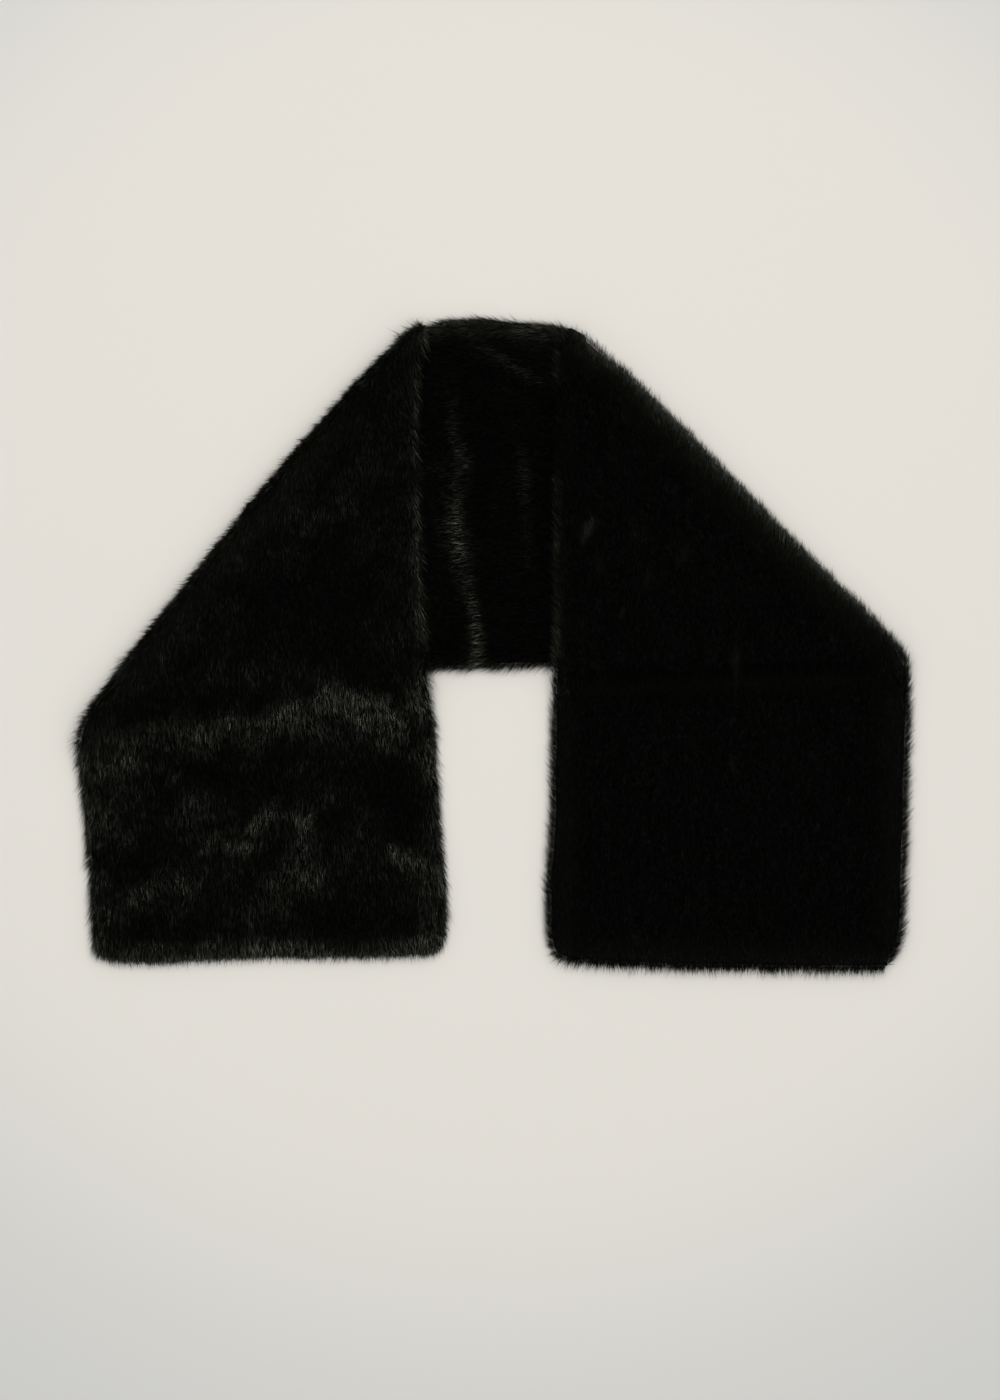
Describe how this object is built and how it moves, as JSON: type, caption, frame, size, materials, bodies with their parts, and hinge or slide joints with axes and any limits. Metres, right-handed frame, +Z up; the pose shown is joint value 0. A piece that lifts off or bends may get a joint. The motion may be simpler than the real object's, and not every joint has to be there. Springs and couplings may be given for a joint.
{
  "type": "fur collar wrap",
  "caption": "Double-faced short black fur wrap laid flat, both fronts folded down diagonally over its neck stretch.",
  "frame": {"origin": "on the surface that the wrap lies on, under the middle of its box", "axes": "+X along its longest side, from the left front to the right front; +Y from the hems to the neck's top edge; +Z up, through its thickness"},
  "size_m": [0.8359, 0.6554, 0.0399],
  "materials": {
    "outer_fur": "short dense black pile, dull, with a soft sheen along the nap",
    "inner_fur": "short dense black pile, dull, with a soft sheen along the nap"
  },
  "bodies": {
    "root": {"neck_upper_face": "inner_fur", "neck_under_face": "outer_fur", "left_front_upper_face": "outer_fur", "left_front_under_face": "inner_fur", "right_front_upper_face": "outer_fur", "right_front_under_face": "inner_fur"}
  },
  "joints": []
}
